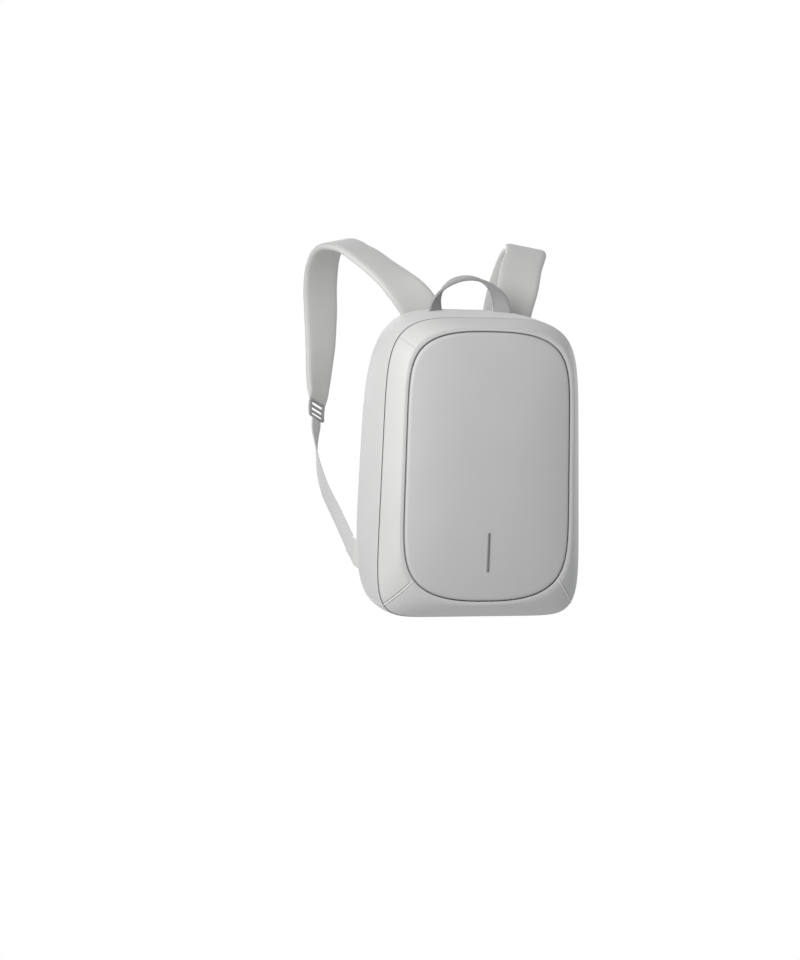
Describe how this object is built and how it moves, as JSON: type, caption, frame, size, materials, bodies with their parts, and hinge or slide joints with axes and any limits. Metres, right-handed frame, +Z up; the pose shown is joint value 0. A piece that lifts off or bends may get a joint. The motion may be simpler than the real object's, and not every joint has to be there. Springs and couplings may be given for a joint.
{
  "type": "anti-theft backpack",
  "caption": "Flat-fronted backpack with a crowned front panel in a mitred frame, padded shoulder straps in their worn form and a carry handle.",
  "frame": {"origin": "centre line of the back panel's face, level with the roots of the shoulder straps, where the wearer's back meets it", "axes": "+Z up, +Y towards the wearer, the bag's front faces -Y, +X its right side as seen from the front"},
  "size_m": [0.3708, 0.4081, 0.5506],
  "materials": {
    "side_fabric": "smooth coated fabric, matte",
    "frame_fabric": "smooth coated fabric, matte",
    "panel_fabric": "soft-touch coated fabric, matte, over foam",
    "strap_fabric": "fine woven fabric over foam",
    "webbing": "flat woven webbing",
    "handle_webbing": "flat woven webbing, mid grey",
    "back_mesh": "spacer mesh over foam",
    "zip": "coil zip on woven tape",
    "plastic": "moulded, matte",
    "bar": "smooth inlaid strip"
  },
  "bodies": {
    "root": {"front_panel": "panel_fabric", "light_bar": "bar", "panel_piping": "frame_fabric", "frame_left": "frame_fabric", "frame_right": "frame_fabric", "frame_top": "frame_fabric", "frame_bottom": "frame_fabric", "corner_binding_left": "frame_fabric", "corner_binding_right": "frame_fabric", "side_band": "side_fabric", "main_zip": "zip", "zip_slider": "plastic", "hinge_strip": "side_fabric", "back_panel": "back_mesh", "carry_handle": "handle_webbing", "shoulder_strap_left": "strap_fabric", "shoulder_strap_right": "strap_fabric", "strap_buckle_left": "plastic", "strap_buckle_right": "plastic", "lower_webbing_left": "webbing", "lower_webbing_right": "webbing", "wing_tab_left": "side_fabric", "wing_tab_right": "side_fabric"}
  },
  "joints": []
}
